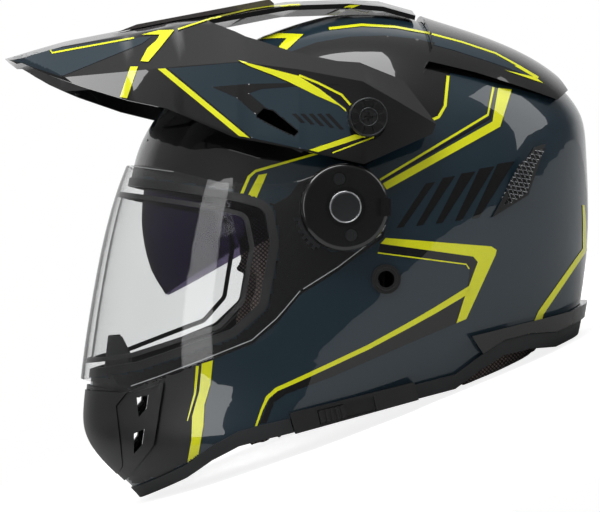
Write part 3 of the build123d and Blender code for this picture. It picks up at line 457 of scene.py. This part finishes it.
for top, low, wide in side_slash_ends:
    shell_black.append([(top[0] - wide, top[1] + wide * side_slash_slope), top,
                        (low[0] + side_slash_foot, low[1] - side_slash_nip),
                        (low[0] - side_slash_nip, low[1])])
decal("black_zones", shell_tree, shell_black, "gloss_black", field_lift, "shell_body")
satin_chin_outlines = [
    [(118, 385), (133, 390), (150, 381), (202, 363), (199.6, 390.6), (192.4, 416), (191.6, 440), (187, 464.7),
     (160, 476), (118, 500), (108, 465), (84, 411), (86, 350), (100, 350)]]
decal("satin_chin", shell_tree, satin_chin_outlines, "satin", field_lift, "shell_body")
shell_stripes_outlines = [
    ribbon([(228.6, 55), (243, 47.5), (258.5, 42.5)], 1.5),
    [(250, 41), (262, 36.5), (279, 33.5), (303.6, 34.6), (268, 68), (260, 67), (286.8, 38.5), (272, 38.5)],
    ribbon([(329, 29), (361.6, 25.2), (395, 27.2), (428.6, 33.5), (462, 42.4), (495.5, 53.6), (520, 67),
            (538, 78)], [2.6, 2.6, 2.2, 1.8, 1.6, 1.6, 1.8, 2.0]),
    [(504.5, 70.3), (533, 77), (514, 66), (520, 66), (543.5, 83.7)],
    ribbon([(241.5, 195), (249.1, 177), (255.8, 171.1), (322.8, 152)], [3.2, 3.0, 2.6, 2.2]),
    [(258.7, 175), (267.3, 173.6), (256.8, 198), (247.2, 197)],
    [(511.6, 89.7), (500, 126.8), (386.6, 189.7), (382.8, 183.5), (492.2, 121.7), (497.8, 88.2)],
    ribbon([(493.3, 87.5), (487.6, 115), (380, 180)], 2.3),
    ribbon([(448, 76), (445, 106), (438.6, 117), (428.6, 121.6)], 3.0),
    [(385.8, 237.9), (491.4, 246.4), (496.5, 250), (495.3, 255.1), (466.1, 318.9), (456.3, 323.1),
     (463.8, 299.2), (477.6, 262), (473, 256.5), (380.5, 243.6)],
    ribbon([(377.8, 252.8), (466.1, 264.3), (468.9, 268.9)], 1.3),
    ribbon([(470, 289), (435.2, 310.2), (407.6, 325.8), (368.6, 346.9), (331.8, 364.2), (297.4, 380.2),
            (276.7, 389.4), (267.6, 397.4), (261.8, 410), (255.6, 427.8)],
           [6.5, 5.8, 5.2, 4.6, 4.4, 4.2, 4.0, 3.6, 2.4, 2.0]),
    [(202, 363.5), (213.1, 360.3), (210.7, 384.2), (204.7, 405), (203.6, 425.7), (198, 458.3),
     (187.1, 464.7), (191.6, 440), (192.4, 416.1), (199.6, 390.6)],
    ribbon([(197.7, 365.9), (195.1, 393.8), (187.6, 420.9)], [3, 2.2, 1]),
]
decal("shell_stripes", shell_tree, shell_stripes_outlines, "yellow", stripe_lift,
      "shell_body", pitch=1.5)
rear_stripe_outlines = [
    ribbon([(583, 205), (584, 220.7), (584.5, 249.4), (540.8, 312.5), (531.6, 336)], [2, 3, 4.5, 6, 8])]
decal("rear_stripe", shell_tree, rear_stripe_outlines, "yellow", stripe_lift,
      "shell_body", reach=0.035, pitch=1.0)
peak_slate_outlines = [
    [(4, 57.5), (30, 53), (112, 40), (152, 36.5), (141.5, 44), (61.5, 76.5)],
    [(168.5, 68.5), (238, 62.5), (262, 72), (300, 88), (330, 96), (345, 107), (350, 118), (350, 136),
     (328, 143), (309, 150), (300, 148.5), (252, 138)],
]
decal("peak_slate", peak_tree, peak_slate_outlines, "slate", field_lift,
      "peak_body", pitch=1.5)
slash_count, slash_step, slash_low_step, slash_low_drop = 5, 8.3, 9.8, 1.7
slash_high = [(292, 114), (296.2, 113.6)]
slash_low = [(305, 122.8), (300.8, 122.8)]
slashes = []
for k in range(slash_count):
    slashes.append([(x + slash_step * k, y) for x, y in slash_high]
                   + [(x + slash_low_step * k, y + slash_low_drop * k) for x, y in slash_low])
# The slashes are printed graphics. The last outline is painted shade: black laid along the side scoop's upper
# lip and round its hole, where a moulded recess would lie in shade.
peak_slashes_and_scoop_shade_outlines = slashes + [
    [(212, 87), (249, 84), (300, 83), (341, 84.3), (300, 86.2), (262, 89), (249, 93.5), (281, 120.5),
     (274, 122.5), (255, 114), (237, 98)]]
decal("peak_black_and_scoop_shade", peak_tree, peak_slashes_and_scoop_shade_outlines, "gloss_black", slash_lift,
      "peak_body", pitch=1.5)
peak_stripes_outlines = [
    ribbon([(50.8, 50.6), (52, 53.3), (134, 38.3)], 1.7),
    [(141.6, 35), (158.8, 30.6), (174.5, 30.2), (159.2, 49.4), (148.3, 62.2), (140.6, 61.6), (147.3, 48.8),
     (157, 40), (159.7, 35)],
    [(130.5, 67), (138, 67), (127.2, 98.5), (120.1, 97.2)],
    [(157.8, 69), (165.5, 68.5), (249.7, 138), (239, 136)],
    ribbon([(178, 29.7), (210.5, 19), (248.7, 9.9), (268, 6.8), (300, 4.8)], 1.6),
    [(238, 60.5), (250, 63.6), (298, 75.9), (320, 89.3), (346, 109.4), (346.4, 112), (339, 105.5), (317, 96),
     (290, 82.6), (272, 74.8), (250, 66.5)],
    ribbon([(299, 75.5), (317, 82.6), (341.5, 94.9), (350.5, 105)], 2.2),
    [(309.2, 150), (355, 134.6), (367, 136.2), (318, 152.2)],
    ribbon([(332.6, 152.9), (373.9, 137.3)], 1.4),
    [(321, 16.5), (349.5, 5), (360, 5), (333, 15.8)],
]
decal("peak_stripes", peak_tree, peak_stripes_outlines, "yellow", peak_stripe_lift,
      "peak_body", reach=0.02, pitch=1.5)
fairing_tree = surface_of("crown_fairing")
fairing_slate_outlines = [
    [(405, 27), (428.6, 32), (462, 41), (495.5, 52), (520, 65), (543, 83), (513, 70), (484, 60), (451, 49.5),
     (417, 41), (400, 37)]]
decal("fairing_slate", fairing_tree, fairing_slate_outlines, "slate", field_lift,
      "shell_body")
fairing_stripes_outlines = [
    ribbon([(405, 28), (428.6, 33.5), (462, 42.4), (495.5, 53.6), (520, 67), (538, 78)],
           [2.2, 1.8, 1.6, 1.6, 1.8, 2.0]),
    [(504.5, 70.3), (533, 77), (514, 66), (520, 66), (543.5, 83.7)],
]
decal("fairing_stripes", fairing_tree, fairing_stripes_outlines, "yellow", stripe_lift,
      "shell_body")
shield_tree = surface_of("shield")
# A pale strip laid along the shield's outline: a painted highlight for the bright edges of the clear plastic.
shield_painted_highlight_outlines = [
    ribbon([(131, 166), (180, 172.5), (220, 178.5), (254, 183), (280, 183), (300, 181), (318, 174.5),
            (345, 169.5), (372, 178), (387, 200), (388, 220), (381, 234), (338, 267), (300, 291),
            (284, 310), (276, 319), (252, 340), (202, 360), (157, 377), (131, 386)], 0.9)]
decal("shield_painted_highlight", shield_tree, shield_painted_highlight_outlines, "edge", edge_lift,
      "shield_body")


# Small fittings
def ring_on(name, node, radius, wire, stand, look, body, side):
    """A round wire ring on the outer face of a round node."""
    around, across = 72, 8
    low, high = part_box(node)
    face = low.y if side < 0 else high.y
    made = bmesh.new()
    rows = []
    for i in range(around):
        turn = math.tau * i / around
        row = []
        for j in range(across):
            roll = math.tau * j / across
            far = radius + wire * math.cos(roll)
            row.append(made.verts.new(((low.x + high.x) / 2 + far * math.cos(turn),
                                       face + side * (stand + wire * math.sin(roll)),
                                       (low.z + high.z) / 2 + far * math.sin(turn))))
        rows.append(row)
    for i in range(around):
        here, there = rows[i], rows[(i + 1) % around]
        for j in range(across):
            k = (j + 1) % across
            made.faces.new((here[j], here[k], there[k], there[j]))
    bmesh.ops.recalc_face_normals(made, faces=made.faces)
    data = new_mesh(name, made)
    data.shade_smooth()
    thing = new_piece(name, data, look)
    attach(thing, body)


def wedges(name, node, parts, stand, look, body, side):
    """Raised pads on a knob's face: each part is (start angle, end angle, inner radius, outer radius)."""
    arc_steps = 6
    low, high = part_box(node)
    made = bmesh.new()
    face = (low.y if side < 0 else high.y) - side * knob_relief
    for start, end, inner, outer in parts:
        corners = []
        for i in range(arc_steps + 1):
            corners.append((outer, math.radians(start + (end - start) * i / arc_steps)))
        for i in range(arc_steps + 1):
            corners.append((inner, math.radians(end + (start - end) * i / arc_steps)))
        ends = [made.verts.new(((low.x + high.x) / 2 + far * math.cos(turn), face,
                                (low.z + high.z) / 2 + far * math.sin(turn))) for far, turn in corners]
        base = made.faces.new(ends)
        raised = bmesh.ops.extrude_face_region(made, geom=[base])
        for v in raised["geom"]:
            if isinstance(v, bmesh.types.BMVert):
                v.co.y += side * stand
    bmesh.ops.recalc_face_normals(made, faces=made.faces)
    thing = new_piece(name, new_mesh(name, made), look)
    soft = thing.modifiers.new("round", "BEVEL")
    soft.width = 0.00015
    soft.segments = 2
    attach(thing, body)


def knob_disc(word, side):
    """The knob's turned disc, its face set back so that the pads and the cross stand within its height."""
    data = nodes["peak_knob_" + word].data.copy()
    face = max(abs(v.co.y) for v in data.vertices) - knob_relief
    for v in data.vertices:
        if abs(v.co.y) > face:
            v.co.y = side * face
    thing = new_piece("knob_disc_" + word, data, "satin")
    thing.data.shade_smooth()
    crease = thing.modifiers.new("edges", "EDGE_SPLIT")
    crease.split_angle = crease_angle
    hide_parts("peak_knob_" + word)
    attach(thing, "knob_" + word + "_body")


for word, side in sides:
    knob_disc(word, side)
    ring_on("pivot_ring_" + word, "pivot_cap_" + word, 0.0099, 0.00045, -0.0004, "steel",
            "shell_body", side)
    ring_on("port_ring_" + word, "port_grommet_" + word, 0.0074, 0.0004, -0.0001, "black_rubber",
            "shell_body", side)
    knob = "knob_" + word + "_body"
    wedges("knob_pads_" + word, "peak_knob_" + word,
           [(i * 45 + 6, i * 45 + 39, 0.0066, 0.0108) for i in range(8)], 0.0006, "black_plastic",
           knob, side)
    wedges("knob_cross_" + word, "peak_knob_" + word,
           [(i * 90 - 9, i * 90 + 9, 0.0006, 0.0050) for i in range(4)], 0.0007, "gun_metal",
           knob, side)
    ring_on("knob_ring_" + word, "peak_knob_" + word, 0.0057, 0.0004, -0.0006, "gun_metal",
            knob, side)
    ring_on("knob_edge_" + word, "peak_knob_" + word, 0.0119, 0.0004, -knob_relief, "gun_metal",
            knob, side)


def at_depth(px, py, depth):
    """The spot behind a pixel in the plane at this y."""
    aim = ray_through(px, py)
    return eye + aim * ((depth - eye.y) / aim.y)


def crossings(outline, start, way):
    """Where a line through start crosses the outline, as distances along it."""
    found = []
    for i, (ax, ay) in enumerate(outline):
        bx, by = outline[(i + 1) % len(outline)]
        one = (ax - start[0]) * way[1] - (ay - start[1]) * way[0]
        two = (bx - start[0]) * way[1] - (by - start[1]) * way[0]
        if one * two < 0:
            share = one / (one - two)
            x = ax + (bx - ax) * share
            y = ay + (by - ay) * share
            found.append((x - start[0]) * way[0] + (y - start[1]) * way[1])
    return sorted(found)


def vent_mesh(word, side):
    """Bright expanded mesh of thin crossed wires over a flat black sheet, which is painted shade for the dark
    space behind the vent.
    """
    outline = [(546, 148), (534, 168), (527, 193), (489, 216), (505, 191), (519, 165), (536, 150)]
    centre_px, spacing_px, rows = (518, 182), 4.2, 26
    front, shade_sheet_depth, half_wire, shortest = 0.0004, 0.0022, 0.00036, 0.001
    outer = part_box("rear_vent_mesh_left")[0].y
    made = bmesh.new()
    for turn, drop in ((68, 0.0), (8, 0.0005)):
        way = (math.cos(math.radians(turn)), math.sin(math.radians(turn)))
        for step in range(-rows, rows + 1):
            start = (centre_px[0] - way[1] * step * spacing_px, centre_px[1] + way[0] * step * spacing_px)
            marks = crossings(outline, start, way)
            for a, b in zip(marks[::2], marks[1::2]):
                ends = [at_depth(start[0] + way[0] * t, start[1] + way[1] * t, outer + front + drop)
                        for t in (a, b)]
                along = (ends[1] - ends[0]).normalized()
                if (ends[1] - ends[0]).length < shortest:
                    continue
                cross = along.cross(Vector((0, 1, 0))).normalized() * half_wire
                deep = Vector((0, half_wire, 0))
                rings = [[made.verts.new(((p + o).x, (p + o).y * -side, (p + o).z))
                          for o in (cross, deep, -cross, -deep)] for p in ends]
                for j in range(4):
                    k = (j + 1) % 4
                    made.faces.new((rings[0][j], rings[0][k], rings[1][k], rings[1][j]))
                made.faces.new(rings[0][::-1])
                made.faces.new(rings[1])
    bmesh.ops.recalc_face_normals(made, faces=made.faces)
    name = "vent_wires_" + word
    wires = new_piece(name, new_mesh(name, made), "chrome")
    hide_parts("rear_vent_mesh_" + word)
    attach(wires, "shell_body")
    # The black sheet behind the wires is painted shade: it stands for the vent's dark opening.
    made = bmesh.new()
    ends = [at_depth(x, y, outer + shade_sheet_depth) for x, y in outline]
    flat = [made.verts.new((p.x, p.y * -side, p.z)) for p in ends]
    for three in tessellate_polygon([[Vector((x, y, 0)) for x, y in outline]]):
        made.faces.new([flat[i] for i in three])
    name = "vent_shade_sheet_" + word
    shade_sheet = new_piece(name, new_mesh(name, made), "black_rubber")
    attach(shade_sheet, "shell_body")


for word, side in sides:
    vent_mesh(word, side)


# Padding and webbing
def remeshed(name, node, look, voxel):
    """A copy of a node's solid with an even skin of small faces, made the active object."""
    thing = new_piece(name, nodes[node].data.copy(), look)
    bpy.context.view_layer.objects.active = thing
    remesh = thing.modifiers.new("remesh", "REMESH")
    remesh.mode = "VOXEL"
    remesh.voxel_size = voxel
    bpy.ops.object.modifier_apply(modifier="remesh")
    return thing


def soften(name, node, look, body, voxel, cap, channels):
    """The pad swells under its cover as cloth, stays in the room of its solid and gets its sewn channels.

    Each channel is (a point of its plane, the plane's normal, depth, half width).
    """
    shrink, stand_off, sim_frames = 0.0012, 0.0002, 20
    thing = remeshed(name, node, look, voxel)
    solid = nodes[node].data
    room = BVHTree.FromPolygons([v.co.copy() for v in solid.vertices],
                                [list(p.vertices) for p in solid.polygons])
    data = thing.data
    for v in data.vertices:
        v.co = v.co - v.normal * shrink
    start = [v.co.copy() for v in data.vertices]
    cloth = thing.modifiers.new("cloth", "CLOTH")
    cloth.settings.use_pressure = True
    cloth.settings.uniform_pressure_force = 4
    cloth.settings.effector_weights.gravity = 0
    cloth.settings.quality = 4
    cloth.point_cache.frame_start = 1
    cloth.point_cache.frame_end = sim_frames
    for step in range(1, sim_frames + 1):
        scene.frame_set(step)
    bpy.ops.object.modifier_apply(modifier="cloth")
    scene.frame_set(1)
    data = thing.data
    for i, v in enumerate(data.vertices):
        move = v.co - start[i]
        if move.length > cap:
            v.co = start[i] + move.normalized() * cap
    for v in data.vertices:
        for place, way, depth, width in channels:
            gap = abs((v.co - Vector(place)).dot(Vector(way).normalized()))
            if gap < width:
                v.co = v.co - v.normal * depth * (1 + math.cos(math.pi * gap / width)) / 2
    for v in data.vertices:
        spot, facing, _, _ = room.find_nearest(v.co)
        if facing is not None and (v.co - spot).dot(facing) > stand_off:
            v.co = spot + (v.co - spot).normalized() * stand_off
    data.shade_smooth()
    more = thing.modifiers.new("finer", "SUBSURF")
    more.levels = 1
    more.render_levels = 1
    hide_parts(node)
    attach(thing, body)


def middle_of(node):
    low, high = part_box(node)
    return [(low[i] + high[i]) / 2 for i in range(3)]


for word, _ in sides:
    soften("cheek_cushion_" + word, "cheek_pad_" + word, "air_mesh", "shell_body", 0.004,
           0.006, [(middle_of("cheek_pad_" + word), (1, 0, 0.35), 0.0016, 0.005)])
mid = middle_of("neck_roll")
soften("neck_cushion", "neck_roll", "air_mesh", "shell_body", 0.004, 0.005,
       [((mid[0], 0, mid[2]), (0, 1, 0), 0.0015, 0.004),
        ((mid[0], 0.045, mid[2]), (0.3, 1, 0), 0.0015, 0.004),
        ((mid[0], -0.045, mid[2]), (-0.3, 1, 0), 0.0015, 0.004)])
mid = middle_of("crown_liner")
soften("crown_cushion", "crown_liner", "liner", "shell_body", 0.005, 0.004,
       [((mid[0], 0.028, mid[2]), (0, 1, 0), 0.0015, 0.005),
        ((mid[0], -0.028, mid[2]), (0, 1, 0), 0.0015, 0.005),
        ((mid[0], 0, mid[2]), (1, 0, 0), 0.0015, 0.005)])
for word, _ in sides:
    strap = remeshed("webbing_" + word, "strap_" + word, "web", 0.0008)
    ease = strap.modifiers.new("ease", "SMOOTH")
    ease.iterations = 4
    bpy.ops.object.modifier_apply(modifier="ease")
    strap.data.shade_smooth()
    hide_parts("strap_" + word)
    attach(strap, "shell_body")

# Floor, light and background
floor_radius, floor_steps, floor_ahead, floor_drop = 0.8, 96, 0.02, 0.0006
rim = []
for i in range(floor_steps):
    turn = math.tau * i / floor_steps
    rim.append((floor_ahead + floor_radius * math.cos(turn), floor_radius * math.sin(turn), 0))
floor_data = bpy.data.meshes.new("floor")
floor_data.from_pydata(rim, [], [list(range(floor_steps))])
floor = bpy.data.objects.new("floor", floor_data)
floor.location = (0, 0, -floor_drop)
scene.collection.objects.link(floor)
floor_look, n, l, shader = new_material("pale_floor")
shader.inputs["Base Color"].default_value = (0.46, 0.46, 0.46, 1)
shader.inputs["Roughness"].default_value = 0.9
shader.inputs["Specular IOR Level"].default_value = 0.0
glow = n.new("ShaderNodeEmission")
glow.inputs["Color"].default_value = (1, 1, 1, 1)
path = n.new("ShaderNodeLightPath")
l.new(combine(n, l, "MULTIPLY", path.outputs["Is Camera Ray"], 0.85), glow.inputs["Strength"])
total = n.new("ShaderNodeAddShader")
l.new(shader.outputs["BSDF"], total.inputs[0])
l.new(glow.outputs["Emission"], total.inputs[1])
l.new(total.outputs["Shader"], n["Material Output"].inputs["Surface"])
floor_data.materials.append(floor_look)

# The background is white to the camera and to rays that go straight through clear plastic. Light and
# reflections come from a soft upward gradient and, outside clear plastic, a brighter wall on the far side.
world = bpy.data.worlds.new("studio")
world.use_nodes = True
scene.world = world
n, l = world.node_tree.nodes, world.node_tree.links
plain = n["Background"]
plain.inputs["Color"].default_value = (1, 1, 1, 1)
path = n.new("ShaderNodeLightPath")
straight = combine(n, l, "LESS_THAN", path.outputs["Glossy Depth"], 0.5)
through = combine(n, l, "MULTIPLY", path.outputs["Is Transmission Ray"], straight)
seen = combine(n, l, "MAXIMUM", path.outputs["Is Camera Ray"], through)
where = n.new("ShaderNodeTexCoord")
apart = n.new("ShaderNodeSeparateXYZ")
l.new(where.outputs["Generated"], apart.inputs["Vector"])
upward = n.new("ShaderNodeMapRange")
upward.interpolation_type = "SMOOTHSTEP"
upward.inputs["From Min"].default_value = -0.1
upward.inputs["To Min"].default_value = 0.1
upward.inputs["To Max"].default_value = 0.36
l.new(apart.outputs["Z"], upward.inputs["Value"])
wall = n.new("ShaderNodeMapRange")
wall.interpolation_type = "SMOOTHSTEP"
wall.inputs["From Min"].default_value = 0.3
wall.inputs["From Max"].default_value = 0.8
wall.inputs["To Max"].default_value = 0.7
l.new(apart.outputs["Y"], wall.inputs["Value"])
outside = combine(n, l, "LESS_THAN", path.outputs["Transmission Depth"], 0.5)
bright = combine(n, l, "MULTIPLY", wall.outputs["Result"], outside)
most = combine(n, l, "MAXIMUM", upward.outputs["Result"], bright)
l.new(combine(n, l, "MAXIMUM", most, seen), plain.inputs["Strength"])


def lamp(name, place, width, height, power):
    """A soft box that looks at the helmet."""
    target = (0, 0, 0.2)
    data = bpy.data.lights.new(name, "AREA")
    data.shape = "RECTANGLE"
    data.size = width
    data.size_y = height
    data.energy = power
    thing = bpy.data.objects.new(name, data)
    thing.location = place
    thing.rotation_euler = (Vector(target) - Vector(place)).to_track_quat("-Z", "Y").to_euler()
    scene.collection.objects.link(thing)


lamp("overhead_softbox", (0.0, -0.45, 1.7), 1.7, 1.1, 30)
lamp("rear_softbox", (1.8, -0.5, 0.7), 0.9, 1.2, 7)
lamp("front_softbox", (-1.6, -1.2, 0.9), 0.5, 1.2, 5)
scene.view_settings.view_transform = "Standard"
